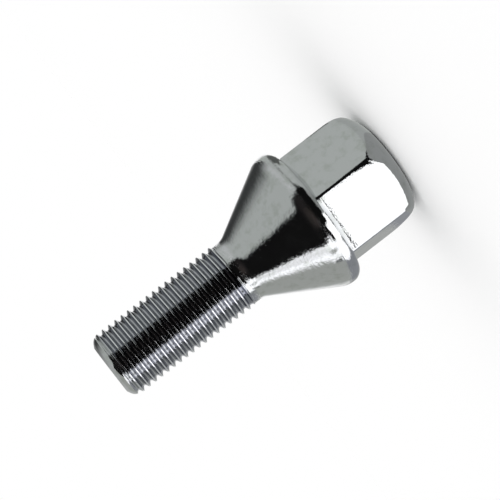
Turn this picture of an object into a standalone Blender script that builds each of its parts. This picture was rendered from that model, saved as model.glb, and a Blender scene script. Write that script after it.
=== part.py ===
"""Wheel bolt with a 60 degree cone seat, a 19 mm hexagon head and an M12 x 1.25 thread.

It is one piece of plated steel: a forged hexagon head and collar, a turned cone seat and neck,
and a rolled right-hand thread. The origin is the middle of the flat end of the head, on which the
bolt stands, and +Z runs along the axis to the tip of the thread. All sizes are in metres.
"""

import math

import bmesh
import bpy

# Hexagon head
ACROSS_FLATS = 0.0190
HEX_HEIGHT = 0.0136
HEX_EDGE_RADIUS = 0.0006
HEAD_FLAT_DIAMETER = 0.0112
CROWN_DEPTH = 0.0070
CROWN_BLEND = 0.0008

# Collar and cone seat
COLLAR_DIAMETER = 0.0250
SHOULDER_SLOPE = math.radians(20.0)
RIM_BACK_RADIUS = 0.0020
RIM_FRONT_RADIUS = 0.0042
SEAT_ANGLE = math.radians(60.0)

# Plain neck between the seat and the thread
NECK_DIAMETER = 0.0112
NECK_FILLET = 0.0030
NECK_LENGTH = 0.00165

# Metric thread and its rounded tip
THREAD_DIAMETER = 0.01185
THREAD_PITCH = 0.00125
THREAD_LENGTH = 0.02465
THREAD_PHASE = math.radians(-4.5)
TIP_FLAT_DIAMETER = 0.0086
TIP_CHAMFER = 0.0005
TIP_CHAMFER_SLOPE = math.radians(28.0)
TIP_ROUNDING = 0.0020
TIP_LEAN = math.radians(8.0)

# Facets round a turned surface, round the thread, and on an arc or a flat
TURN_STEPS = 48
THREAD_STEPS = 36
ARC_STEPS = 6
CROWN_STEPS = 10
EDGE_STEPS = 4
FLAT_STEPS = 6

# Shares of the pitch in a metric thread, and its 60 degree profile
THREAD_DEPTH_SHARE = 0.5413
CREST_SHARE = 1 / 8
ROOT_SHARE = 1 / 4
# How far a joined solid runs on inside the one that it is joined to
OVERLAP = 0.0005
# Turns of the rod that are cut off again, and how many of them lie below the thread
SPARE_TURNS = 4
SPARE_TURNS_BELOW = 2

MERGE_DISTANCE = 0.000001
SHARP_ANGLE = math.radians(28.0)

CHROME_COLOUR = (0.66, 0.67, 0.68, 1.0)
CHROME_ROUGHNESS = 0.12

COLLECTION_NAME = "wheel_bolt"
CUTTER_COLLECTION_NAME = "wheel_bolt_cutters"


def clear_scene():
    for item in list(bpy.data.objects):
        bpy.data.objects.remove(item, do_unlink=True)


def new_collection(name):
    collection = bpy.data.collections.new(name)
    bpy.context.scene.collection.children.link(collection)
    return collection


def chrome_material():
    material = bpy.data.materials.new("chrome_plate")
    material.use_nodes = True
    shader = material.node_tree.nodes["Principled BSDF"]
    shader.inputs["Base Color"].default_value = CHROME_COLOUR
    shader.inputs["Metallic"].default_value = 1.0
    shader.inputs["Roughness"].default_value = CHROME_ROUGHNESS
    material.diffuse_color = CHROME_COLOUR
    return material


def add_object(name, mesh, collection):
    item = bpy.data.objects.new(name, mesh)
    collection.objects.link(item)
    return item


def hide_cutter(item):
    item.hide_render = True
    item.display_type = "WIRE"


def evaluated_mesh(item):
    """The object's mesh with its modifiers applied."""
    graph = bpy.context.evaluated_depsgraph_get()
    return bpy.data.meshes.new_from_object(item.evaluated_get(graph))


def arc(centre, radius, start, end, steps=ARC_STEPS):
    """Points (r, z) on an arc. An angle of 0 points outwards and one of 90 degrees points up."""
    points = []
    for step in range(steps + 1):
        angle = start + (end - start) * step / steps
        points.append((centre[0] + radius * math.cos(angle), centre[1] + radius * math.sin(angle)))
    return points


def profile_mesh(name, points):
    """An open chain of edges in the XZ plane through the points (r, z)."""
    mesh = bpy.data.meshes.new(name)
    edges = [(index, index + 1) for index in range(len(points) - 1)]
    mesh.from_pydata([(r, 0.0, z) for r, z in points], edges, [])
    return mesh


def turned(name, points, collection):
    """A solid turned about Z from a profile that runs down from the axis to the axis."""
    item = add_object(name, profile_mesh(name, points), collection)
    screw = item.modifiers.new("turn", "SCREW")
    screw.steps = TURN_STEPS
    screw.render_steps = TURN_STEPS
    screw.use_merge_vertices = True
    screw.merge_threshold = MERGE_DISTANCE
    return item


def boolean(item, other, operation):
    modifier = item.modifiers.new(other.name, "BOOLEAN")
    modifier.object = other
    modifier.operation = operation


def apothem():
    return ACROSS_FLATS / 2


def seat_half_angle():
    return SEAT_ANGLE / 2


def rim_height():
    """Height of the collar's widest ring above the end of the head."""
    turn = math.pi / 2 - SHOULDER_SLOPE
    shoulder_radius = COLLAR_DIAMETER / 2 - RIM_BACK_RADIUS * (1 - math.cos(turn))
    shoulder_rise = (shoulder_radius - apothem()) * math.tan(SHOULDER_SLOPE)
    return HEX_HEIGHT + shoulder_rise + RIM_BACK_RADIUS * math.sin(turn)


def neck_start():
    """Height at which the line of the seat would meet the neck."""
    half = seat_half_angle()
    seat_low = rim_height() + RIM_FRONT_RADIUS * math.sin(half)
    seat_radius = COLLAR_DIAMETER / 2 - RIM_FRONT_RADIUS * (1 - math.cos(half))
    return seat_low + (seat_radius - NECK_DIAMETER / 2) / math.tan(half)


def thread_start():
    return neck_start() + NECK_LENGTH


def tip_height():
    return thread_start() + THREAD_LENGTH


def thread_depth():
    return THREAD_PITCH * THREAD_DEPTH_SHARE


def root_radius():
    return THREAD_DIAMETER / 2 - thread_depth()


def body_profile():
    """Neck, seat and collar, from the thread's run-out down to the hexagon."""
    half = seat_half_angle()
    turn = math.pi / 2 - SHOULDER_SLOPE
    neck_radius = NECK_DIAMETER / 2
    run_out = thread_start() + THREAD_PITCH
    core_radius = root_radius() - OVERLAP
    fillet_centre = (neck_radius + NECK_FILLET, neck_start() + NECK_FILLET * math.tan(half / 2))
    front_centre = (COLLAR_DIAMETER / 2 - RIM_FRONT_RADIUS, rim_height())
    back_centre = (COLLAR_DIAMETER / 2 - RIM_BACK_RADIUS, rim_height())
    inner_radius = apothem() - OVERLAP
    inner_height = HEX_HEIGHT - OVERLAP * math.tan(SHOULDER_SLOPE)
    points = [(0.0, run_out + OVERLAP), (core_radius, run_out + OVERLAP)]
    points.append((neck_radius, thread_start()))
    points += arc(fillet_centre, NECK_FILLET, math.pi, math.pi + half)
    points += arc(front_centre, RIM_FRONT_RADIUS, half, 0.0)
    points += arc(back_centre, RIM_BACK_RADIUS, 0.0, -turn)[1:]
    points += [(inner_radius, inner_height), (0.0, inner_height)]
    return points


def thread_envelope_profile():
    """What bounds the thread: the tip's flat, chamfer and rounding, and a bevel at the neck."""
    clear = THREAD_DIAMETER / 2 + 2 * OVERLAP
    tip_flat = TIP_FLAT_DIAMETER / 2
    chamfer_radius = tip_flat + TIP_CHAMFER
    chamfer_height = tip_height() - TIP_CHAMFER * math.tan(TIP_CHAMFER_SLOPE)
    centre_radius = chamfer_radius - TIP_ROUNDING * math.sin(TIP_CHAMFER_SLOPE)
    centre_height = chamfer_height - TIP_ROUNDING * math.cos(TIP_CHAMFER_SLOPE)
    start = math.pi / 2 - TIP_CHAMFER_SLOPE
    points = [(0.0, tip_height()), (tip_flat, tip_height())]
    points += arc((centre_radius, centre_height), TIP_ROUNDING, start, TIP_LEAN)
    side_radius, side_height = points[-1]
    points.append((clear, side_height - (clear - side_radius) / math.tan(TIP_LEAN)))
    bevel = clear - NECK_DIAMETER / 2 + OVERLAP
    points.append((clear, thread_start() - OVERLAP + bevel))
    points.append((clear - bevel, thread_start() - OVERLAP))
    points.append((0.0, thread_start() - OVERLAP))
    return points


def thread_profile():
    """One pitch of the thread, from the middle of one root down to the middle of the next."""
    crest = THREAD_DIAMETER / 2
    half_root = THREAD_PITCH * ROOT_SHARE / 2
    half_crest = THREAD_PITCH * CREST_SHARE / 2
    middle = THREAD_PITCH / 2
    return [
        (root_radius(), THREAD_PITCH),
        (root_radius(), THREAD_PITCH - half_root),
        (crest, middle + half_crest),
        (crest, middle - half_crest),
        (root_radius(), half_root),
        (root_radius(), 0.0),
    ]


def close_end(shell, edges, height):
    """Draws an open end of the rod together in one point on the axis."""
    ring = bmesh.ops.extrude_edge_only(shell, edges=edges)["geom"]
    corners = [item for item in ring if isinstance(item, bmesh.types.BMVert)]
    bmesh.ops.pointmerge(shell, verts=corners, merge_co=(0.0, 0.0, height))


def threaded_rod(collection):
    """A solid rod with a right-hand thread, a few turns longer than the thread that is left."""
    profile = add_object("thread_profile", profile_mesh("thread_profile", thread_profile()), collection)
    turns = math.ceil(THREAD_LENGTH / THREAD_PITCH) + SPARE_TURNS
    screw = profile.modifiers.new("thread", "SCREW")
    screw.screw_offset = THREAD_PITCH
    screw.iterations = turns
    screw.steps = THREAD_STEPS
    screw.render_steps = THREAD_STEPS
    mesh = evaluated_mesh(profile)
    bpy.data.objects.remove(profile)
    shell = bmesh.new()
    shell.from_mesh(mesh)
    bmesh.ops.remove_doubles(shell, verts=shell.verts, dist=MERGE_DISTANCE)
    length = THREAD_PITCH * (turns + 1)
    rims = [edge for edge in shell.edges if edge.is_boundary]
    lower = [edge for edge in rims if edge.verts[0].co.z < length / 2]
    upper = [edge for edge in rims if edge.verts[0].co.z > length / 2]
    close_end(shell, lower, -THREAD_PITCH / 2)
    close_end(shell, upper, length + THREAD_PITCH / 2)
    bmesh.ops.recalc_face_normals(shell, faces=shell.faces)
    shell.to_mesh(mesh)
    shell.free()
    rod = add_object("threaded_rod", mesh, collection)
    rod.location.z = thread_start() - SPARE_TURNS_BELOW * THREAD_PITCH
    rod.rotation_euler.z = THREAD_PHASE
    return rod


def hexagon_radius(offset):
    """Radius of the hexagon with rounded edges, at an angle from the nearest edge."""
    centre = (apothem() - HEX_EDGE_RADIUS) / math.cos(math.pi / 6)
    if abs(offset) < edge_half_angle():
        chord = centre * math.sin(offset)
        return centre * math.cos(offset) + math.sqrt(HEX_EDGE_RADIUS ** 2 - chord ** 2)
    return apothem() / math.cos(math.pi / 6 - abs(offset))


def edge_half_angle():
    """Half the angle, seen from the axis, over which an edge of the hexagon is rounded."""
    half_flat = (apothem() - HEX_EDGE_RADIUS) * math.tan(math.pi / 6)
    return math.pi / 6 - math.atan(half_flat / apothem())


def hexagon_angles():
    """Angles round the hexagon, close together over its edges. Flats face +X and -X."""
    edge = edge_half_angle()
    angles = []
    for corner in range(6):
        middle = math.pi / 6 + corner * math.pi / 3
        for step in range(EDGE_STEPS):
            angles.append((middle, -edge + 2 * edge * step / EDGE_STEPS))
        flat = math.pi / 3 - 2 * edge
        for step in range(FLAT_STEPS):
            angles.append((middle, edge + flat * step / FLAT_STEPS))
    return angles


def smooth_least(first, second, blend):
    """The smaller of two radii, with the corner between them rounded off."""
    overlap = max(blend - abs(first - second), 0.0)
    return min(first, second) - overlap ** 2 / (4 * blend)


def head_section(shell, height, crown_radius):
    """A ring of the head: a circle near its end that opens out into the hexagon."""
    ring = []
    for middle, offset in hexagon_angles():
        nearest = offset if offset < math.pi / 6 else offset - math.pi / 3
        radius = smooth_least(hexagon_radius(nearest), crown_radius, CROWN_BLEND)
        angle = middle + offset
        ring.append(shell.verts.new((radius * math.cos(angle), radius * math.sin(angle), height)))
    return ring


def hexagon_head(collection):
    """The head as a loft from its flat round end to the hexagon, up into the collar."""
    flat_radius = HEAD_FLAT_DIAMETER / 2
    reach = hexagon_radius(0.0) + CROWN_BLEND
    shell = bmesh.new()
    rings = []
    for step in range(CROWN_STEPS + 1):
        angle = math.pi / 2 * step / CROWN_STEPS
        height = CROWN_DEPTH * (1 - math.cos(angle))
        rings.append(head_section(shell, height, flat_radius + (reach - flat_radius) * math.sin(angle)))
    rings.append(head_section(shell, rim_height(), reach))
    for lower, upper in zip(rings, rings[1:]):
        count = len(lower)
        for index in range(count):
            after = (index + 1) % count
            shell.faces.new((lower[index], lower[after], upper[after], upper[index]))
    shell.faces.new(reversed(rings[0]))
    shell.faces.new(rings[-1])
    mesh = bpy.data.meshes.new("hexagon_head")
    shell.to_mesh(mesh)
    shell.free()
    return add_object("hexagon_head", mesh, collection)


def wheel_bolt():
    parts = new_collection(COLLECTION_NAME)
    cutters = new_collection(CUTTER_COLLECTION_NAME)
    envelope = turned("thread_envelope", thread_envelope_profile(), cutters)
    rod = threaded_rod(cutters)
    boolean(rod, envelope, "INTERSECT")
    head = hexagon_head(cutters)
    for cutter in (envelope, rod, head):
        hide_cutter(cutter)
    blank = turned("turned_blank", body_profile(), cutters)
    boolean(blank, head, "UNION")
    boolean(blank, rod, "UNION")
    mesh = evaluated_mesh(blank)
    bpy.data.objects.remove(blank)
    mesh.name = "wheel_bolt"
    mesh.shade_smooth()
    mesh.set_sharp_from_angle(angle=SHARP_ANGLE)
    mesh.materials.clear()
    mesh.materials.append(chrome_material())
    return add_object("wheel_bolt", mesh, parts)


clear_scene()
wheel_bolt()
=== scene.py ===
"""Looks of the wheel bolt: its fine mesh, its chrome plating and the studio that it stands in.

The bolt stands on the end of its head. Its thread, seat, collar and hexagon are rebuilt here as one
closed mesh with true round surfaces and a rolled thread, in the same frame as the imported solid.
"""

import math

import bmesh
import bpy
from mathutils import Matrix, Vector


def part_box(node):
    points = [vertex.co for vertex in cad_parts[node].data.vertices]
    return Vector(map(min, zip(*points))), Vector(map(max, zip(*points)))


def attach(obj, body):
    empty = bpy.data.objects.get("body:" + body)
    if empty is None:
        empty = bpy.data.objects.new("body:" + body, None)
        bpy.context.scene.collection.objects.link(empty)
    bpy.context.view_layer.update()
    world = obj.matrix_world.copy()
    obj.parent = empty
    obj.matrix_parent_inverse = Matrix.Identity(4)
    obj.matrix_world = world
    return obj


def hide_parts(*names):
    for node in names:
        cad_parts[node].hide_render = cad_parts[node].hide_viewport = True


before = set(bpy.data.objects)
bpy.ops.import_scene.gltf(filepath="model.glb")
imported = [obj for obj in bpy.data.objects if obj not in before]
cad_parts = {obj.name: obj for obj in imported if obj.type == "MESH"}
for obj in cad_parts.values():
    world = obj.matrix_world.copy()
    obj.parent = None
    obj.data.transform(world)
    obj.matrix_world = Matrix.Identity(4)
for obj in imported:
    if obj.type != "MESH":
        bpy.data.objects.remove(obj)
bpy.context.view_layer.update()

bl_info = {
    "name": "Chrome wheel bolt",
    "version": (1, 0, 0),
    "blender": (4, 5, 0),
    "location": "View3D > Sidebar > Wheel bolt",
    "description": "Makes a chrome-plated wheel bolt and a studio to look at it in",
    "category": "Object",
}

CAD_NODE = "wheel_bolt"
NODE_LOW, NODE_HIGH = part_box(CAD_NODE)

# Facets of the fine mesh
CORNER_COLUMNS = 8
FLAT_COLUMNS = 14
ROWS_PER_PITCH = 24
CROWN_ROWS = 26
HEX_ROWS = 8
ARC_ROWS = 14
SEAT_ROWS = 14
DISC_ROWS = 4

# The metric thread: how deep it is, and how much of its sharp form is cut off at crest and root
SHARP_HEIGHT = math.sqrt(3) / 2
DEPTH_SHARE = 5 / 8 * SHARP_HEIGHT
CREST_CUT = SHARP_HEIGHT / 8

# In pitches: how far under the thread's start its crests are counted from, and how much of the way
# over the tip's flat is left to the faces that meet on the axis
COUNTED_FROM = 1.5
LEFT_TO_TIP = 2

# The angle of one flat of the hexagon as seen from the axis, and half of it
SIDE_ANGLE = math.pi / 3
HALF_SIDE = math.pi / 6

# Where the two rings between the hexagon's crease and the collar's round edge lie
SHOULDER_SHARES = (0.2, 0.6)

# The plating's height: how strong its broad waves and turning marks are against its ripples, how
# fine the waves are beside the ripples, how short the marks are round the axis, and how much of the
# height is left on the thread
BROAD_SHARE = 2.2
STREAK_SHARE = 2.0
BROAD_SCALE = 0.13
STREAKS_ROUND = 8.0
THREAD_CALM = 0.35

# Its dull patches: how fine they are beside the ripples, and where they begin and are full
HAZE_SCALE = 0.19
HAZE_LOW = 0.45
HAZE_HIGH = 0.72

# Its masks, among them those of the painted shade on the thread's flanks and roots and of the painted
# highlight on its crests: the width over which they fade, how far from a crest or a root a flank
# begins and is full, how strong the painted shade still is in a root, and how much of the tip is
# left free of painted shade and highlight
MASK_WIDTH = 0.0004
FLANK_EDGE = 0.00003
FLANK_FULL = 0.00014
ROOT_PAINTED_SHADE = 0.5
DOME_LENGTH = 0.0014

# How far below the tip the groove begins to fill, and how fast it fills
RUN_IN_LENGTH = 0.0016
RUN_IN_SLOPE = 0.6


class BoltSizes(bpy.types.PropertyGroup):
    """Sizes of the bolt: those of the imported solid, and the fine roundings of its thread."""

    length: bpy.props.FloatProperty(
        name="Length", description="From the end of the head to the tip",
        default=NODE_HIGH.z, unit="LENGTH", precision=5)
    across_flats: bpy.props.FloatProperty(
        name="Across flats", description="Spanner size of the hexagon",
        default=0.0190, unit="LENGTH", precision=5)
    hex_height: bpy.props.FloatProperty(
        name="Hexagon height", description="From the end of the head to the collar, on a flat",
        default=0.0136, unit="LENGTH", precision=5)
    hex_edge_radius: bpy.props.FloatProperty(
        name="Hexagon edge radius", description="Rounding of the six long edges",
        default=0.0006, unit="LENGTH", precision=5)
    head_flat: bpy.props.FloatProperty(
        name="Head flat", description="Diameter of the flat on the end of the head",
        default=0.0112, unit="LENGTH", precision=5)
    crown_depth: bpy.props.FloatProperty(
        name="Crown depth", description="Height over which the end of the head is rounded",
        default=0.0070, unit="LENGTH", precision=5)
    crown_blend: bpy.props.FloatProperty(
        name="Crown blend", description="Rounding between the crown and the flats",
        default=0.0008, unit="LENGTH", precision=5)
    collar_diameter: bpy.props.FloatProperty(
        name="Collar diameter", description="Widest ring of the collar",
        default=NODE_HIGH.x - NODE_LOW.x, unit="LENGTH", precision=5)
    shoulder_slope: bpy.props.FloatProperty(
        name="Shoulder slope", description="Slope of the collar's back",
        default=math.radians(20.0), subtype="ANGLE")
    rim_back_radius: bpy.props.FloatProperty(
        name="Rim back radius", description="Rounding of the rim towards the head",
        default=0.0020, unit="LENGTH", precision=5)
    rim_front_radius: bpy.props.FloatProperty(
        name="Rim front radius", description="Rounding of the rim towards the seat",
        default=0.0042, unit="LENGTH", precision=5)
    seat_angle: bpy.props.FloatProperty(
        name="Seat angle", description="Full angle of the cone seat",
        default=math.radians(60.0), subtype="ANGLE")
    neck_diameter: bpy.props.FloatProperty(
        name="Neck diameter", description="Plain neck under the thread",
        default=0.0112, unit="LENGTH", precision=5)
    neck_fillet: bpy.props.FloatProperty(
        name="Neck fillet", description="Hollow rounding between neck and seat",
        default=0.0030, unit="LENGTH", precision=5)
    neck_length: bpy.props.FloatProperty(
        name="Neck length", description="From the line of the seat to the thread",
        default=0.00165, unit="LENGTH", precision=5)
    thread_diameter: bpy.props.FloatProperty(
        name="Thread diameter", description="Over the crests of the thread",
        default=0.01185, unit="LENGTH", precision=5)
    thread_pitch: bpy.props.FloatProperty(
        name="Thread pitch", description="From one crest to the next",
        default=0.00125, unit="LENGTH", precision=5)
    thread_phase: bpy.props.FloatProperty(
        name="Thread phase", description="Turn of the thread about the axis",
        default=math.radians(-4.5), subtype="ANGLE")
    crest_blend: bpy.props.FloatProperty(
        name="Crest blend", description="Rounding of the thread's crests",
        default=0.00006, unit="LENGTH", precision=5)
    root_blend: bpy.props.FloatProperty(
        name="Root blend", description="Rounding of the thread's roots",
        default=0.00014, unit="LENGTH", precision=5)
    tip_flat: bpy.props.FloatProperty(
        name="Tip flat", description="Diameter of the flat on the tip",
        default=0.0086, unit="LENGTH", precision=5)
    tip_chamfer: bpy.props.FloatProperty(
        name="Tip chamfer", description="Width of the chamfer round the tip's flat",
        default=0.0005, unit="LENGTH", precision=5)
    tip_chamfer_slope: bpy.props.FloatProperty(
        name="Tip chamfer slope", description="Slope of that chamfer against the tip's flat",
        default=math.radians(28.0), subtype="ANGLE")
    tip_rounding: bpy.props.FloatProperty(
        name="Tip rounding", description="Rounding from the chamfer into the thread",
        default=0.0020, unit="LENGTH", precision=5)
    tip_lean: bpy.props.FloatProperty(
        name="Tip lean", description="Lean of the side at which that rounding ends",
        default=math.radians(8.0), subtype="ANGLE")


class PlatingLook(bpy.types.PropertyGroup):
    """Colour, dull patches, roughness and ripples of the chrome plating, and the colours of the painted
    shade and highlight on the thread.
    """

    colour: bpy.props.FloatVectorProperty(
        name="Plating colour", description="Colour that the clean plating reflects",
        default=(0.66, 0.67, 0.68), size=3, subtype="COLOR", min=0.0, max=1.0)
    haze_colour: bpy.props.FloatVectorProperty(
        name="Haze colour", description="Colour of the plating where it is a little dull",
        default=(0.56, 0.58, 0.565), size=3, subtype="COLOR", min=0.0, max=1.0)
    roughness: bpy.props.FloatProperty(
        name="Roughness", description="Roughness of the clean plating",
        default=0.045, min=0.0, max=1.0)
    haze_roughness: bpy.props.FloatProperty(
        name="Haze roughness", description="Roughness where the plating is a little dull",
        default=0.10, min=0.0, max=1.0)
    # Painted shade: a darker colour on the thread's flanks, weaker in its roots
    groove_painted_shade: bpy.props.FloatVectorProperty(
        name="Groove colour", description="Colour in the thread's grooves, painted as shade",
        default=(0.27, 0.28, 0.32), size=3, subtype="COLOR", min=0.0, max=1.0)
    # Painted highlight: a lighter colour on the thread's crests
    crest_painted_highlight: bpy.props.FloatVectorProperty(
        name="Crest colour", description="Colour on the thread's crests, painted as a highlight",
        default=(0.88, 0.89, 0.91), size=3, subtype="COLOR", min=0.0, max=1.0)
    ripple_size: bpy.props.FloatProperty(
        name="Ripple size", description="Width of one ripple in the plating",
        default=0.00034, unit="LENGTH", precision=5)
    ripple_height: bpy.props.FloatProperty(
        name="Ripple height", description="Height of the ripples",
        default=0.000015, unit="LENGTH", precision=6)
    streak_size: bpy.props.FloatProperty(
        name="Streak size", description="Width of one turning mark on collar, seat and neck",
        default=0.00022, unit="LENGTH", precision=5)


class StudioLook(bpy.types.PropertyGroup):
    """Camera and surroundings."""

    tilt: bpy.props.FloatProperty(
        name="Tilt", description="How far the camera looks down on the standing bolt",
        default=math.radians(5.2), subtype="ANGLE")
    roll: bpy.props.FloatProperty(
        name="Roll", description="Slope of the bolt's axis in the picture, head up to the right",
        default=math.radians(37.57), subtype="ANGLE")
    azimuth: bpy.props.FloatProperty(
        name="Azimuth", description="Direction from the bolt to the camera, from +X",
        default=math.radians(261.1), subtype="ANGLE")
    distance: bpy.props.FloatProperty(
        name="Distance", description="From the bolt's axis to the camera",
        default=0.30, unit="LENGTH")
    scale: bpy.props.FloatProperty(
        name="Scale", description="Width of the picture at the bolt",
        default=0.07982, unit="LENGTH", precision=5)
    aim_height: bpy.props.FloatProperty(
        name="Aim height", description="Height on the axis that the camera looks at",
        default=0.02629, unit="LENGTH", precision=5)
    aim_side: bpy.props.FloatProperty(
        name="Aim side", description="How far beside the axis the camera looks",
        default=0.00161, unit="LENGTH", precision=5)
    floor_colour: bpy.props.FloatVectorProperty(
        name="Floor colour", description="Colour of the plain floor",
        default=(1.0, 1.0, 1.0), size=3, subtype="COLOR", min=0.0, max=1.0)


def smooth_least(first, second, blend):
    """The smaller of two radii, with the corner between them rounded off."""
    overlap = max(blend - abs(first - second), 0.0)
    return min(first, second) - overlap ** 2 / (4 * blend)


def smooth_most(first, second, blend):
    """The larger of two radii, with the corner between them filled."""
    overlap = max(blend - abs(first - second), 0.0)
    return max(first, second) + overlap ** 2 / (4 * blend)


def arc(centre, radius, start, end):
    """Points (r, z) on an arc. An angle of 0 points outwards and one of 90 degrees points up."""
    points = []
    for step in range(ARC_ROWS + 1):
        angle = start + (end - start) * step / ARC_ROWS
        points.append((centre[0] + radius * math.cos(angle), centre[1] + radius * math.sin(angle)))
    return points


def between(start, end, share):
    """The point (r, z) at a share of the way from one point to another."""
    return start[0] + (end[0] - start[0]) * share, start[1] + (end[1] - start[1]) * share


def straight(start, end, steps):
    """Points (r, z) on a straight line, without its first."""
    return [between(start, end, step / steps) for step in range(1, steps + 1)]


class Hexagon:
    """The hexagon's outline with rounded edges, and the columns of vertices that follow it."""

    def __init__(self, sizes):
        self.apothem = sizes.across_flats / 2
        self.edge_radius = sizes.hex_edge_radius
        half_flat = (self.apothem - self.edge_radius) * math.tan(HALF_SIDE)
        self.edge_angle = HALF_SIDE - math.atan(half_flat / self.apothem)
        self.columns = self.make_columns()

    def radius(self, offset):
        """Radius at an angle from the nearest edge."""
        centre = (self.apothem - self.edge_radius) / math.cos(HALF_SIDE)
        if abs(offset) < self.edge_angle:
            chord = centre * math.sin(offset)
            return centre * math.cos(offset) + math.sqrt(self.edge_radius ** 2 - chord ** 2)
        return self.apothem / math.cos(HALF_SIDE - abs(offset))

    def make_columns(self):
        """Pairs of angle and radius all round, close together over the edges."""
        flat = SIDE_ANGLE - 2 * self.edge_angle
        columns = []
        for corner in range(6):
            middle = HALF_SIDE + corner * SIDE_ANGLE
            for step in range(CORNER_COLUMNS):
                offset = -self.edge_angle + 2 * self.edge_angle * step / CORNER_COLUMNS
                columns.append((middle + offset, self.radius(offset)))
            for step in range(FLAT_COLUMNS):
                offset = self.edge_angle + flat * step / FLAT_COLUMNS
                nearest = offset if offset < HALF_SIDE else offset - SIDE_ANGLE
                columns.append((middle + offset, self.radius(nearest)))
        return columns


class BoltForm:
    """Heights and radii of the bolt that follow from its sizes."""

    def __init__(self, sizes):
        self.sizes = sizes
        self.half_seat = sizes.seat_angle / 2
        self.collar = sizes.collar_diameter / 2
        self.apothem = sizes.across_flats / 2
        self.neck = sizes.neck_diameter / 2
        self.crest = sizes.thread_diameter / 2
        self.root = self.crest - sizes.thread_pitch * DEPTH_SHARE
        self.back_turn = math.pi / 2 - sizes.shoulder_slope
        self.shoulder = self.collar - sizes.rim_back_radius * (1 - math.cos(self.back_turn))
        rise = self.shoulder_height(self.shoulder) - sizes.hex_height
        self.rim_height = sizes.hex_height + rise + sizes.rim_back_radius * math.sin(self.back_turn)
        seat_low = self.rim_height + sizes.rim_front_radius * math.sin(self.half_seat)
        seat_radius = self.collar - sizes.rim_front_radius * (1 - math.cos(self.half_seat))
        self.neck_start = seat_low + (seat_radius - self.neck) / math.tan(self.half_seat)
        self.thread_start = self.neck_start + sizes.neck_length

    def shoulder_height(self, radius):
        """Height of the collar's sloped back at a radius."""
        return self.sizes.hex_height + (radius - self.apothem) * math.tan(self.sizes.shoulder_slope)

    def collar_profile(self):
        """Points (r, z) from the collar's back over the rim and the seat to the neck."""
        sizes = self.sizes
        back_centre = (self.collar - sizes.rim_back_radius, self.rim_height)
        front_centre = (self.collar - sizes.rim_front_radius, self.rim_height)
        fillet_height = self.neck_start + sizes.neck_fillet * math.tan(self.half_seat / 2)
        fillet_centre = (self.neck + sizes.neck_fillet, fillet_height)
        fillet = arc(fillet_centre, sizes.neck_fillet, math.pi + self.half_seat, math.pi)
        points = arc(back_centre, sizes.rim_back_radius, -self.back_turn, 0.0)
        points += arc(front_centre, sizes.rim_front_radius, 0.0, self.half_seat)[1:]
        points += straight(points[-1], fillet[0], SEAT_ROWS)
        points += fillet[1:]
        return points

    def thread_radius(self, height, angle):
        """Radius of the endless thread at a height and an angle."""
        sizes = self.sizes
        pitch = sizes.thread_pitch
        low_crest = self.thread_start - COUNTED_FROM * pitch
        turns = (height - low_crest) / pitch - (angle - sizes.thread_phase) / (2 * math.pi)
        away = abs(turns - round(turns)) * pitch
        sharp = self.crest + CREST_CUT * pitch - math.sqrt(3) * away
        radius = smooth_least(sharp, self.crest, sizes.crest_blend)
        return smooth_most(radius, self.root, sizes.root_blend)

    def shank_profile(self):
        """Points (r, z) of the shank's outer bound, which the thread's groove then cuts.

        They run from the neck over the bevel, the crests, the tip's rounding and its chamfer, and
        across the tip's flat to the axis.
        """
        sizes = self.sizes
        slope = sizes.tip_chamfer_slope
        tip_radius = sizes.tip_flat / 2
        chamfer_radius = tip_radius + sizes.tip_chamfer
        chamfer_height = sizes.length - sizes.tip_chamfer * math.tan(slope)
        centre_radius = chamfer_radius - sizes.tip_rounding * math.sin(slope)
        centre_height = chamfer_height - sizes.tip_rounding * math.cos(slope)
        centre = (centre_radius, centre_height)
        rounding = arc(centre, sizes.tip_rounding, sizes.tip_lean, math.pi / 2 - slope)
        side_radius, side_height = rounding[0]
        side_low = side_height - (self.crest - side_radius) / math.tan(sizes.tip_lean)
        bevel = self.crest - self.neck
        points = [(self.neck, self.neck_start + sizes.neck_length / 2), (self.neck, self.thread_start)]
        points.append((self.crest, self.thread_start + bevel))
        points.append((self.crest, side_low))
        points += rounding
        points += [(tip_radius, sizes.length), (0.0, sizes.length)]
        return points


def walk(points, distance):
    """The point (r, z) at a distance along a chain of points."""
    for start, end in zip(points, points[1:]):
        length = math.dist(start, end)
        if distance <= length:
            return between(start, end, distance / length)
        distance -= length
    return points[-1]


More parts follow.
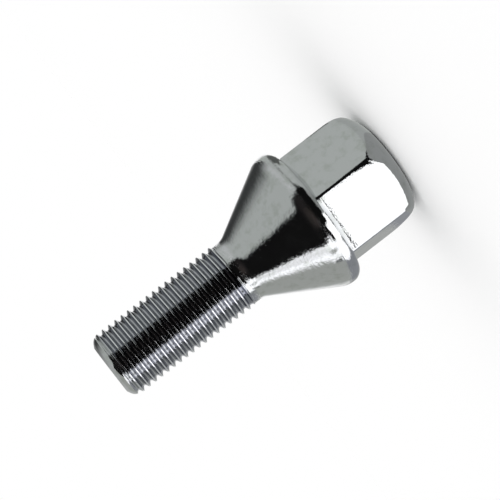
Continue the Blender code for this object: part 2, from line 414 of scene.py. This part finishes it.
class BoltMesh:
    """Builds the bolt as rings of vertices, from the end of the head to the tip."""

    def __init__(self, sizes):
        self.sizes = sizes
        self.hexagon = Hexagon(sizes)
        self.form = BoltForm(sizes)
        self.shell = bmesh.new()

    def vertex(self, radius, angle, height):
        return self.shell.verts.new((radius * math.cos(angle), radius * math.sin(angle), height))

    def ring(self, place):
        """A ring of vertices. place gives (r, z) from a column's radius on the hexagon."""
        made = []
        for angle, hex_radius in self.hexagon.columns:
            radius, height = place(hex_radius)
            made.append(self.vertex(radius, angle, height))
        return made

    def bridge(self, lower, upper):
        """Faces between two rings. Returns the upper ring, to go on from."""
        count = len(lower)
        for index in range(count):
            after = (index + 1) % count
            self.shell.faces.new((lower[index], lower[after], upper[after], upper[index]))
        return upper

    def head(self):
        """The flat end, the crown and the hexagon up to its crease with the collar."""
        sizes = self.sizes
        form = self.form
        flat_radius = sizes.head_flat / 2
        reach = self.hexagon.radius(0.0) + sizes.crown_blend
        centre = self.shell.verts.new((0.0, 0.0, 0.0))
        disc = []
        for row in range(1, DISC_ROWS + 1):
            radius = flat_radius * row / DISC_ROWS
            disc.append(self.ring(lambda hex_radius: (radius, 0.0)))
        count = len(disc[0])
        for index in range(count):
            self.shell.faces.new((centre, disc[0][(index + 1) % count], disc[0][index]))
        last = disc[0]
        for ring in disc[1:]:
            last = self.bridge(last, ring)
        for row in range(1, CROWN_ROWS + 1):
            turn = math.pi / 2 * row / CROWN_ROWS
            crown = flat_radius + (reach - flat_radius) * math.sin(turn)
            height = sizes.crown_depth * (1 - math.cos(turn))

            def place(hex_radius):
                return smooth_least(hex_radius, crown, sizes.crown_blend), height

            last = self.bridge(last, self.ring(place))
        for row in range(1, HEX_ROWS + 1):
            share = row / HEX_ROWS

            def place(hex_radius):
                crease = form.shoulder_height(hex_radius)
                return hex_radius, sizes.crown_depth + (crease - sizes.crown_depth) * share

            last = self.bridge(last, self.ring(place))
        for index in range(count):
            edge = self.shell.edges.get((last[index], last[(index + 1) % count]))
            edge.smooth = False
        return last

    def collar(self, last):
        """The collar's sloped back, its rim, the cone seat and the neck's fillet."""
        form = self.form
        for share in SHOULDER_SHARES:

            def place(hex_radius):
                reached = hex_radius + (form.shoulder - hex_radius) * share
                return reached, form.shoulder_height(reached)

            last = self.bridge(last, self.ring(place))
        for point in form.collar_profile():
            last = self.bridge(last, self.ring(lambda hex_radius: point))
        return last

    def shank_vertex(self, chain, distance, angle):
        """A vertex of the thread: the outer bound, cut by the groove, which fills at both ends."""
        form = self.form
        bound, height = walk(chain, distance)
        above = height - form.thread_start
        run_out = form.neck - (form.neck - form.root) * max(above, 0.0) / self.sizes.thread_pitch
        grooved = form.thread_radius(height, angle)
        grooved = smooth_most(grooved, run_out, self.sizes.root_blend)
        run_in = form.root + (height - self.sizes.length + RUN_IN_LENGTH) * RUN_IN_SLOPE
        grooved = smooth_most(grooved, run_in, self.sizes.root_blend)
        return self.vertex(smooth_least(grooved, bound, self.sizes.crest_blend), angle, height)

    def shank(self, last):
        """The thread, as rows that climb with it, and the tip's flat."""
        chain = self.form.shank_profile()
        pitch = self.sizes.thread_pitch
        total = sum(math.dist(start, end) for start, end in zip(chain, chain[1:]))
        angles = [angle for angle, hex_radius in self.hexagon.columns]
        first_angle = angles[0]
        shares = [(angle - first_angle) / (2 * math.pi) for angle in angles]
        row_step = pitch / ROWS_PER_PITCH
        rows = int((total - LEFT_TO_TIP * pitch) / row_step)
        columns = []
        for share, angle in zip(shares, angles):
            length = rows + (ROWS_PER_PITCH if share == 0.0 else 0)
            columns.append([
                self.shank_vertex(chain, share * pitch + row * row_step, angle)
                for row in range(length + 1)
            ])
        faces = self.shell.faces
        for left, right in zip(columns, columns[1:]):
            for row in range(rows):
                faces.new((left[row], right[row], right[row + 1], left[row + 1]))
        left, right = columns[-1], columns[0]
        for row in range(rows):
            climbed = row + ROWS_PER_PITCH
            faces.new((left[row], right[climbed], right[climbed + 1], left[row + 1]))
        self.join_below(last, columns)
        self.close_tip(columns, rows)

    def join_below(self, last, columns):
        """Faces between the neck's level ring and the thread's climbing first row."""
        faces = self.shell.faces
        for index in range(len(last) - 1):
            faces.new((last[index], last[index + 1], columns[index + 1][0], columns[index][0]))
        faces.new((last[-1], last[0], columns[0][0], columns[-1][0]))
        for row in range(ROWS_PER_PITCH):
            faces.new((columns[-1][0], columns[0][row], columns[0][row + 1]))

    def close_tip(self, columns, rows):
        """Faces from the thread's last row, on the tip's flat, to the axis."""
        faces = self.shell.faces
        middle = self.shell.verts.new((0.0, 0.0, self.sizes.length))
        for left, right in zip(columns, columns[1:]):
            faces.new((left[rows], right[rows], middle))
        climbed = rows + ROWS_PER_PITCH
        faces.new((columns[-1][rows], columns[0][climbed], middle))
        for row in range(rows, climbed):
            faces.new((columns[0][row + 1], columns[0][row], middle))

    def build(self, name):
        crease = self.head()
        neck = self.collar(crease)
        self.shank(neck)
        for face in self.shell.faces:
            face.smooth = True
        mesh = bpy.data.meshes.new(name)
        self.shell.to_mesh(mesh)
        self.shell.free()
        return mesh


class NodeLine:
    """Short ways to add shader nodes and join them."""

    def __init__(self, tree):
        self.tree = tree

    def add(self, kind, **settings):
        node = self.tree.nodes.new(kind)
        for name, value in settings.items():
            setattr(node, name, value)
        return node

    def join(self, source, target):
        self.tree.links.new(source, target)

    def maths(self, operation, first, second=None):
        """A Math node. first and second are numbers or sockets. Returns its output."""
        node = self.add("ShaderNodeMath", operation=operation)
        for socket, value in zip(node.inputs, (first, second)):
            if isinstance(value, bpy.types.NodeSocket):
                self.join(value, socket)
            elif value is not None:
                socket.default_value = value
        return node.outputs[0]

    def square(self, value):
        return self.maths("MULTIPLY", value, value)

    def map_range(self, value, low, high, new_low=0.0, new_high=1.0, smooth=True):
        node = self.add("ShaderNodeMapRange")
        node.interpolation_type = "SMOOTHSTEP" if smooth else "LINEAR"
        self.join(value, node.inputs["Value"])
        node.inputs["From Min"].default_value = low
        node.inputs["From Max"].default_value = high
        node.inputs["To Min"].default_value = new_low
        node.inputs["To Max"].default_value = new_high
        return node.outputs["Result"]

    def noise(self, vector, scale, detail=2.0, roughness=0.5):
        node = self.add("ShaderNodeTexNoise")
        self.join(vector, node.inputs["Vector"])
        node.inputs["Scale"].default_value = scale
        node.inputs["Detail"].default_value = detail
        node.inputs["Roughness"].default_value = roughness
        return node.outputs["Fac"]

    def mix_colour(self, share, first, second):
        """A Mix node for colours. Each value is a colour, a number or a socket."""
        node = self.add("ShaderNodeMix", data_type="RGBA")
        sockets = (node.inputs["Factor"], node.inputs[6], node.inputs[7])
        for socket, value in zip(sockets, (share, first, second)):
            if isinstance(value, bpy.types.NodeSocket):
                self.join(value, socket)
            else:
                socket.default_value = value
        return node.outputs[2]


PLATING_INPUTS = (
    "Ripple Size", "Streak Size", "Shoulder Height", "Thread Start", "Thread End", "Crest Radius",
    "Root Radius",
)
PLATING_OUTPUTS = ("Height", "Haze", "Groove Shade", "Crest")


def plating_and_painted_light_group():
    """Finish of the plating, and where shade and a highlight are painted on the thread.

    It gives the height of its fine ripples and turning marks, and masks of where it is a little
    dull, of the painted shade on the thread's flanks and roots and of the painted highlight on its crests.
    """
    tree = bpy.data.node_groups.new("plating_and_painted_light", "ShaderNodeTree")
    for name in PLATING_INPUTS:
        tree.interface.new_socket(name, in_out="INPUT", socket_type="NodeSocketFloat")
    for name in PLATING_OUTPUTS:
        tree.interface.new_socket(name, in_out="OUTPUT", socket_type="NodeSocketFloat")
    line = NodeLine(tree)
    inputs = line.add("NodeGroupInput").outputs
    outputs = line.add("NodeGroupOutput").inputs
    place = line.add("ShaderNodeTexCoord").outputs["Object"]
    axes = line.add("ShaderNodeSeparateXYZ")
    line.join(place, axes.inputs[0])
    across, along, rise = axes.outputs
    radius = line.maths("SQRT", line.maths("ADD", line.square(across), line.square(along)))

    scaled = line.add("ShaderNodeVectorMath", operation="DIVIDE")
    line.join(place, scaled.inputs[0])
    line.join(inputs["Ripple Size"], scaled.inputs[1])
    ripple = line.noise(scaled.outputs[0], 1.0, detail=2.5, roughness=0.55)
    broad = line.noise(scaled.outputs[0], BROAD_SCALE, detail=1.0)
    height = line.maths("ADD", ripple, line.maths("MULTIPLY", broad, BROAD_SHARE))

    round_axis = line.add("ShaderNodeCombineXYZ")
    for source, target in zip((across, along), round_axis.inputs):
        line.join(line.maths("MULTIPLY", line.maths("DIVIDE", source, radius), STREAKS_ROUND), target)
    line.join(line.maths("DIVIDE", rise, inputs["Streak Size"]), round_axis.inputs["Z"])
    streaks = line.noise(round_axis.outputs[0], 1.0, detail=2.0, roughness=0.6)
    above = line.maths("SUBTRACT", rise, inputs["Shoulder Height"])
    turned = line.map_range(above, 0.0, MASK_WIDTH)
    streaks = line.maths("MULTIPLY", line.maths("MULTIPLY", streaks, turned), STREAK_SHARE)
    height = line.maths("ADD", height, streaks)
    from_neck = line.map_range(line.maths("SUBTRACT", rise, inputs["Thread Start"]), 0.0, MASK_WIDTH)
    calmer = line.map_range(from_neck, 0.0, 1.0, 1.0, THREAD_CALM, smooth=False)
    line.join(line.maths("MULTIPLY", height, calmer), outputs["Height"])

    haze = line.noise(scaled.outputs[0], HAZE_SCALE, detail=4.0, roughness=0.6)
    line.join(line.map_range(haze, HAZE_LOW, HAZE_HIGH), outputs["Haze"])

    # Painted shade on the thread's flanks, weaker in its roots, and a painted highlight on its crests, both
    # kept off the neck and the tip
    below_crest = line.maths("SUBTRACT", inputs["Crest Radius"], radius)
    above_root = line.maths("SUBTRACT", radius, inputs["Root Radius"])
    flank = line.map_range(below_crest, FLANK_EDGE, FLANK_FULL)
    flank = line.maths("MULTIPLY", flank, line.map_range(above_root, FLANK_EDGE, FLANK_FULL, ROOT_PAINTED_SHADE))
    to_tip = line.map_range(line.maths("SUBTRACT", inputs["Thread End"], rise), 0.0, MASK_WIDTH)
    threaded = line.maths("MULTIPLY", from_neck, to_tip)
    line.join(line.maths("MULTIPLY", flank, threaded), outputs["Groove Shade"])
    crest = line.map_range(below_crest, FLANK_FULL, 0.0)
    line.join(line.maths("MULTIPLY", crest, threaded), outputs["Crest"])
    return tree


def plating_material(look, sizes):
    """Bright chrome plate, with painted shade on the thread's flanks and roots and a painted highlight on
    its crests.
    """
    material = bpy.data.materials.new("chrome_plate_and_painted_light")
    material.use_nodes = True
    line = NodeLine(material.node_tree)
    shader = material.node_tree.nodes["Principled BSDF"]
    plating_and_light = line.add("ShaderNodeGroup", node_tree=plating_and_painted_light_group())
    form = BoltForm(sizes)
    values = (
        look.ripple_size, look.streak_size, sizes.hex_height, form.thread_start,
        sizes.length - DOME_LENGTH, form.crest, form.root,
    )
    for name, value in zip(PLATING_INPUTS, values):
        plating_and_light.inputs[name].default_value = value
    haze = plating_and_light.outputs["Haze"]
    colour = line.mix_colour(haze, (*look.colour, 1.0), (*look.haze_colour, 1.0))
    # Painted shade on the thread's flanks and roots, then a painted highlight on its crests
    colour = line.mix_colour(plating_and_light.outputs["Groove Shade"], colour, (*look.groove_painted_shade, 1.0))
    colour = line.mix_colour(plating_and_light.outputs["Crest"], colour, (*look.crest_painted_highlight, 1.0))
    line.join(colour, shader.inputs["Base Color"])
    dullness = line.map_range(haze, 0.0, 1.0, look.roughness, look.haze_roughness)
    line.join(dullness, shader.inputs["Roughness"])
    shader.inputs["Metallic"].default_value = 1.0
    bump = line.add("ShaderNodeBump")
    bump.inputs["Strength"].default_value = 1.0
    bump.inputs["Distance"].default_value = look.ripple_height
    line.join(plating_and_light.outputs["Height"], bump.inputs["Height"])
    line.join(bump.outputs["Normal"], shader.inputs["Normal"])
    return material


def floor_material(look):
    """A plain matt floor, which the metal mirrors too."""
    material = bpy.data.materials.new("plain_floor")
    material.use_nodes = True
    line = NodeLine(material.node_tree)
    nodes = material.node_tree.nodes
    nodes.remove(nodes["Principled BSDF"])
    matt = line.add("ShaderNodeBsdfDiffuse")
    matt.inputs["Color"].default_value = (*look.floor_colour, 1.0)
    line.join(matt.outputs["BSDF"], nodes["Material Output"].inputs["Surface"])
    return material


def card_material(name, colour):
    """An evenly lit card."""
    material = bpy.data.materials.new(name)
    material.use_nodes = True
    line = NodeLine(material.node_tree)
    nodes = material.node_tree.nodes
    nodes.remove(nodes["Principled BSDF"])
    glow = line.add("ShaderNodeEmission")
    glow.inputs["Color"].default_value = (*colour, 1.0)
    line.join(glow.outputs["Emission"], nodes["Material Output"].inputs["Surface"])
    return material


# Colours that both panels and cards have
WALL_GREY = (0.50, 0.525, 0.505)
BLACK = (0.006, 0.006, 0.006)

# Heights, in degrees, at which a panel ends out of sight: down behind the floor, and up past the
# point over the bolt
DOWN = -30
UP = 96

# What stands round the bolt in the studio. Directions are in degrees: round the bolt from the
# camera's side (positive towards the soft box), and up from level. A panel's two upright edges lean
# by so many degrees for each degree up. Later panels stand in front of earlier ones, and the white
# background shows between them. Lamps are brighter than that white.
# Name, left edge, its lean, right edge, its lean, bottom, top, softness, colour.
PANELS = (
    ("far wall, its left half", -190, 0.0, -132, 0.0, 6, UP, 12, (0.50, 0.51, 0.505)),
    ("far wall, its right half", 140, 0.0, 190, 0.0, 6, UP, 12, (0.50, 0.51, 0.505)),
    ("wall on the right", 60, 0.0, 150, 0.0, DOWN, 86, 14, (0.43, 0.445, 0.42)),
    ("wall on the left", -136, 0.0, -30, 0.0, DOWN, 88, 16, WALL_GREY),
    ("level strip on that wall", -128, 0.0, -44, 0.0, -9, 11, 8, (0.60, 0.615, 0.61)),
    ("gap beside the wall", -170, 0.0, -122, 0.30, -34, 46, 40, (0.05, 0.052, 0.052)),
    ("low wall on the right", 74, 0.0, 156, 0.0, DOWN, -8, 10, (0.26, 0.27, 0.255)),
    ("soft box", 30, 0.40, 59, 0.20, DOWN, 52, 5, (1.60, 1.60, 1.62)),
    ("high end of the soft box", 54, 0.20, 90, 0.0, 27, 50, 8, (1.15, 1.15, 1.17)),
    ("strip light", 66, 0.25, 77, 0.25, DOWN, 46, 4, (1.55, 1.55, 1.58)),
    ("stand of the strip light", 79, 0.20, 85, 0.20, DOWN, 24, 4, (0.14, 0.145, 0.15)),
    ("dark room", -42.5, 0.12, 38, 0.48, DOWN, UP, 4, BLACK),
    ("corner of the left wall", -70, 0.0, -52, 0.45, 31, UP, 4, WALL_GREY),
    ("glow in the dark room", -38, 0.0, 24, 0.0, -6, 33, 12, (0.018, 0.016, 0.016)),
    ("lens in the dark room", -12, 0.0, 18, 0.0, -4, 20, 12, (0.042, 0.035, 0.033)),
)

# Half the floor's width, and the distances from the axis at which the inner ring of cards ends and
# the outer cards end
FLOOR_HALF = 0.5
RING_END = 0.0165
CARD_END = 0.49

# Heights of the cards: just over the floor, and a little higher, where one lies on another
LOW = 0.0002
OVER_LOW = 0.0004

# Cards round the bolt, low down: between two directions as above, and from one edge to the other,
# each as its distance from the axis and its height. All lie on the floor but two, which stand.
# Name, left edge, right edge, near edge, far edge, colour.
CARDS = (
    ("grey_card", -150, -42, (RING_END, LOW), (CARD_END, LOW), WALL_GREY),
    ("black_card", -42, 47, (RING_END, LOW), (CARD_END, LOW), BLACK),
    ("lit_card", 47, 86, (RING_END, LOW), (CARD_END, LOW), (1.60, 1.60, 1.64)),
    ("dull_card", 86, 150, (RING_END, LOW), (CARD_END, LOW), (0.30, 0.31, 0.33)),
    ("dark_card", -150, -42, (0.0240, OVER_LOW), (0.0600, OVER_LOW), (0.12, 0.125, 0.12)),
    ("ring_card_by_the_left", -165, -40, (0.0060, LOW), (RING_END, LOW), (0.44, 0.46, 0.445)),
    ("ring_card_by_the_right", -40, 165, (0.0060, LOW), (RING_END, LOW), (0.33, 0.34, 0.335)),
    ("back_card", 150, 186, (0.0060, 0.0003), (CARD_END, 0.0003), (0.42, 0.43, 0.42)),
    ("low_lit_card", 8, 60, (0.0118, OVER_LOW), (0.0200, OVER_LOW), (1.70, 1.70, 1.70)),
    ("standing_lit_card", 17, 52, (0.0200, LOW), (0.0200, 0.0120), (1.80, 1.80, 1.80)),
    ("standing_grey_card", -84, -40, (0.0200, LOW), (0.0200, 0.0120), (0.52, 0.545, 0.525)),
)
CARD_STEPS = 24


def leaning_edge(line, turn, rise, place, lean):
    """How far a direction lies to the right of a panel's upright edge, in degrees."""
    edge = line.maths("ADD", line.maths("MULTIPLY", rise, lean), place)
    return line.maths("SUBTRACT", turn, edge)


def panel_mask(line, turn, rise, panel):
    """1 inside a panel, 0 outside it."""
    name, left, left_lean, right, right_lean, bottom, top, soft, colour = panel
    half = soft / 2
    from_left = leaning_edge(line, turn, rise, left, left_lean)
    from_right = leaning_edge(line, turn, rise, right, right_lean)
    inside = line.map_range(from_left, -half, half)
    inside = line.maths("MULTIPLY", inside, line.map_range(from_right, half, -half))
    inside = line.maths("MULTIPLY", inside, line.map_range(rise, bottom - half, bottom + half))
    return line.maths("MULTIPLY", inside, line.map_range(rise, top + half, top - half))


def studio_world(look):
    """A white background for every ray. The metal mirrors the studio's panels in front of it."""
    world = bpy.data.worlds.new("soft_studio")
    world.use_nodes = True
    bpy.context.scene.world = world
    line = NodeLine(world.node_tree)
    background = world.node_tree.nodes["Background"]
    turned = line.add("ShaderNodeVectorRotate", rotation_type="Z_AXIS")
    turned.inputs["Angle"].default_value = -look.azimuth
    line.join(line.add("ShaderNodeTexCoord").outputs["Generated"], turned.inputs["Vector"])
    axes = line.add("ShaderNodeSeparateXYZ")
    line.join(turned.outputs[0], axes.inputs[0])
    sideways = line.maths("MULTIPLY", axes.outputs["Y"], -1.0)
    turn = line.maths("DEGREES", line.maths("ARCTAN2", sideways, axes.outputs["X"]))
    rise = line.maths("DEGREES", line.maths("ARCSINE", axes.outputs["Z"]))
    white = (1.0, 1.0, 1.0, 1.0)
    colour = white
    for panel in PANELS:
        mask = panel_mask(line, turn, rise, panel)
        colour = line.mix_colour(mask, colour, (*panel[-1], 1.0))
    path = line.add("ShaderNodeLightPath")
    seen = line.mix_colour(path.outputs["Is Glossy Ray"], white, colour)
    line.join(seen, background.inputs["Color"])


def make_floor(look):
    """The plain floor that the bolt stands on."""
    half = FLOOR_HALF
    mesh = bpy.data.meshes.new("floor")
    corners = [(-half, -half, 0.0), (half, -half, 0.0), (half, half, 0.0), (-half, half, 0.0)]
    mesh.from_pydata(corners, [], [(0, 1, 2, 3)])
    mesh.materials.append(floor_material(look))
    floor = bpy.data.objects.new("floor", mesh)
    bpy.context.scene.collection.objects.link(floor)


def make_cards(look):
    """The low cards. Like the panels they are there for the metal, and out of the picture."""
    for name, left, right, near, far, colour in CARDS:
        corners = []
        for step in range(CARD_STEPS + 1):
            turn = math.radians(left + (right - left) * step / CARD_STEPS)
            angle = look.azimuth - turn
            for radius, height in (near, far):
                corners.append((radius * math.cos(angle), radius * math.sin(angle), height))
        faces = [(2 * step, 2 * step + 1, 2 * step + 3, 2 * step + 2) for step in range(CARD_STEPS)]
        mesh = bpy.data.meshes.new(name)
        mesh.from_pydata(corners, [], faces)
        mesh.materials.append(card_material(name, colour))
        card = bpy.data.objects.new(name, mesh)
        card.visible_camera = False
        card.visible_diffuse = False
        card.visible_shadow = False
        bpy.context.scene.collection.objects.link(card)


def make_camera(look):
    """A near camera, turned so that the tip of the standing bolt points down to the left."""
    towards = Vector((
        math.cos(look.tilt) * math.cos(look.azimuth),
        math.cos(look.tilt) * math.sin(look.azimuth),
        math.sin(look.tilt),
    ))
    axis = Vector((0.0, 0.0, 1.0))
    to_head = (towards * axis.dot(towards) - axis).normalized()
    across = to_head.cross(towards)
    right = to_head * math.cos(look.roll) + across * math.sin(look.roll)
    up = towards.cross(right)
    data = bpy.data.cameras.new("camera")
    data.sensor_width = 36.0
    data.lens = data.sensor_width * look.distance / look.scale
    data.clip_start = 0.01
    data.clip_end = 10.0
    camera = bpy.data.objects.new("camera", data)
    bpy.context.scene.collection.objects.link(camera)
    place = Vector((0.0, 0.0, look.aim_height)) - across * look.aim_side + towards * look.distance
    turned = Matrix((right, up, towards)).transposed().to_4x4()
    camera.matrix_world = Matrix.Translation(place) @ turned
    bpy.context.scene.camera = camera


class MakeBolt(bpy.types.Operator):
    """Makes the chrome-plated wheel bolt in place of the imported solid"""

    bl_idname = "wheel_bolt.make_bolt"
    bl_label = "Make the bolt"

    def execute(self, context):
        settings = context.scene
        mesh = BoltMesh(settings.wheel_bolt_sizes).build("chrome_bolt")
        if not mesh.polygons:
            raise RuntimeError("the bolt's mesh is empty")
        bolt = bpy.data.objects.new("chrome_bolt", mesh)
        context.scene.collection.objects.link(bolt)
        mesh.materials.append(plating_material(settings.wheel_bolt_plating, settings.wheel_bolt_sizes))
        even = bolt.modifiers.new("even_shading", "WEIGHTED_NORMAL")
        even.keep_sharp = True
        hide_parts(CAD_NODE)
        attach(bolt, "root")
        return {"FINISHED"}


class MakeStudio(bpy.types.Operator):
    """Makes the floor, the cards, the soft surroundings and the camera"""

    bl_idname = "wheel_bolt.make_studio"
    bl_label = "Make the studio"

    def execute(self, context):
        look = context.scene.wheel_bolt_studio
        make_floor(look)
        make_cards(look)
        studio_world(look)
        make_camera(look)
        context.scene.view_settings.view_transform = "Standard"
        return {"FINISHED"}


class BoltPanel(bpy.types.Panel):
    """Lists the steps that make the bolt and its studio"""

    bl_idname = "VIEW3D_PT_wheel_bolt"
    bl_label = "Wheel bolt"
    bl_space_type = "VIEW_3D"
    bl_region_type = "UI"
    bl_category = "Wheel bolt"

    def draw(self, context):
        layout = self.layout
        for operator in (MakeBolt, MakeStudio):
            layout.operator(operator.bl_idname)
        for setting, kind in SETTINGS.items():
            column = layout.column(align=True)
            for name in kind.__annotations__:
                column.prop(getattr(context.scene, setting), name)


CLASSES = (BoltSizes, PlatingLook, StudioLook, MakeBolt, MakeStudio, BoltPanel)
SETTINGS = {
    "wheel_bolt_sizes": BoltSizes,
    "wheel_bolt_plating": PlatingLook,
    "wheel_bolt_studio": StudioLook,
}


def register():
    for item in CLASSES:
        bpy.utils.register_class(item)
    for name, group in SETTINGS.items():
        setattr(bpy.types.Scene, name, bpy.props.PointerProperty(type=group))


def unregister():
    for name in SETTINGS:
        delattr(bpy.types.Scene, name)
    for item in reversed(CLASSES):
        bpy.utils.unregister_class(item)


def main():
    register()
    bpy.ops.wheel_bolt.make_bolt()
    bpy.ops.wheel_bolt.make_studio()


if __name__ == "__main__":
    main()
